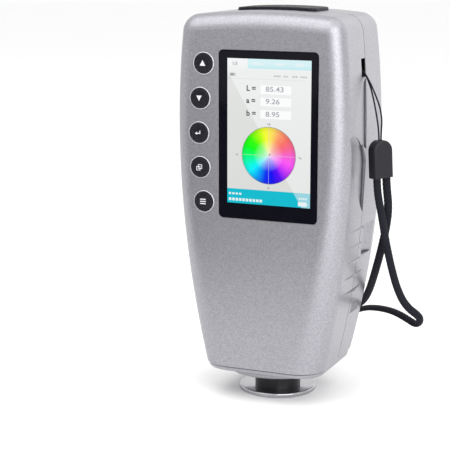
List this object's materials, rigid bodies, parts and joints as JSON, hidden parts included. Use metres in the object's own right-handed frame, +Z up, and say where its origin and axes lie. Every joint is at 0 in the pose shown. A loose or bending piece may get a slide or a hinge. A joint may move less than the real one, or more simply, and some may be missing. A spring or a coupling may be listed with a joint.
{
  "type": "benchtop colorimeter",
  "caption": "Handheld benchtop colorimeter: silver casing with colour display, round key column, top measuring key, port foot and wrist strap.",
  "frame": {"origin": "centre of the measuring aperture on the face that lies on the sample", "axes": "+Z up along the casing, -Y out of the display, +X to the right of someone who looks at the display"},
  "size_m": [0.1239, 0.0818, 0.2066],
  "materials": {
    "silver_paint": "fine metallic silver paint on a moulded shell",
    "black_plastic": "satin black moulding",
    "chrome": "polished and plated",
    "steel": "plated steel",
    "window_black": "clear window with a black printed border",
    "foam": "black closed foam",
    "panel_glass": "lit display panel",
    "key_black": "fine grained black",
    "ring_metal": "bright turned ring",
    "switch_plastic": "moulded",
    "board_green": "green solder mask",
    "chip_black": "moulded package",
    "sphere_white": "matte white reflecting coat",
    "lamp_clear": "clear lens",
    "barrel_black": "black anodised",
    "lens_glass": "polished",
    "battery_wrap": "blue film wrap",
    "gold_contact": "gold plated",
    "grey_rubber": "soft matte grey",
    "strap_black": "woven black cord"
  },
  "bodies": {
    "casing": {"front_shell": "silver_paint", "rear_shell": "silver_paint", "base_plate": "silver_paint", "port_neck": "black_plastic", "port_flange": "chrome", "shell_screws": "steel", "base_screws": "steel", "display_window": "window_black", "display_gasket": "foam", "display_panel": "panel_glass", "display_pads": "foam", "key_rings": "ring_metal", "key_switches": "switch_plastic", "main_board": "board_green", "board_chips": "chip_black", "buzzer": "chip_black", "board_screws": "steel", "measure_switch": "switch_plastic", "measure_board": "board_green", "sphere_lower": "sphere_white", "sphere_upper": "sphere_white", "sphere_screws": "steel", "lamp_board": "board_green", "lamps": "lamp_clear", "sensor_barrel": "barrel_black", "sensor_lens": "lens_glass", "sensor_board": "board_green", "battery_pack": "battery_wrap", "battery_contacts": "gold_contact", "port_board": "board_green", "port_socket": "steel", "switch_board": "board_green", "switch_body": "switch_plastic", "strap_bar": "black_plastic", "strap_string": "strap_black", "strap_ferrule": "black_plastic", "wrist_loop": "strap_black"},
    "key_up": {"key_up": "key_black"},
    "key_down": {"key_down": "key_black"},
    "key_enter": {"key_enter": "key_black"},
    "key_back": {"key_back": "key_black"},
    "key_menu": {"key_menu": "key_black"},
    "measure_key": {"measure_key": "key_black"},
    "battery_door": {"battery_door": "silver_paint"},
    "port_cover": {"port_cover": "grey_rubber"},
    "power_slider": {"power_slider": "key_black"}
  },
  "joints": [
    {"name": "key_up_press", "type": "slide", "parent": "casing", "child": "key_up", "axis": [0, 1, 0], "range_m": [0, 0.0006], "stiffness_N_per_m": 1200},
    {"name": "key_down_press", "type": "slide", "parent": "casing", "child": "key_down", "axis": [0, 1, 0], "range_m": [0, 0.0006], "stiffness_N_per_m": 1200},
    {"name": "key_enter_press", "type": "slide", "parent": "casing", "child": "key_enter", "axis": [0, 1, 0], "range_m": [0, 0.0006], "stiffness_N_per_m": 1200},
    {"name": "key_back_press", "type": "slide", "parent": "casing", "child": "key_back", "axis": [0, 1, 0], "range_m": [0, 0.0006], "stiffness_N_per_m": 1200},
    {"name": "key_menu_press", "type": "slide", "parent": "casing", "child": "key_menu", "axis": [0, 1, 0], "range_m": [0, 0.0006], "stiffness_N_per_m": 1200},
    {"name": "measure_key_press", "type": "slide", "parent": "casing", "child": "measure_key", "axis": [0, 0, -1], "range_m": [0, 0.0012], "stiffness_N_per_m": 900, "springref_m": -0.0008},
    {"name": "battery_door_lift", "type": "slide", "parent": "casing", "child": "battery_door", "axis": [0, 1, 0], "range_m": [0, 0.03]},
    {"name": "port_cover_hinge", "type": "hinge", "parent": "casing", "child": "port_cover", "pos_m": [0.03923, 0.0169, 0.0467], "axis": [0.1728, 0, 0.985], "range_deg": [0, 100]},
    {"name": "power_slide", "type": "slide", "parent": "casing", "child": "power_slider", "axis": [0, 1, 0], "range_m": [0, 0.004]}
  ]
}
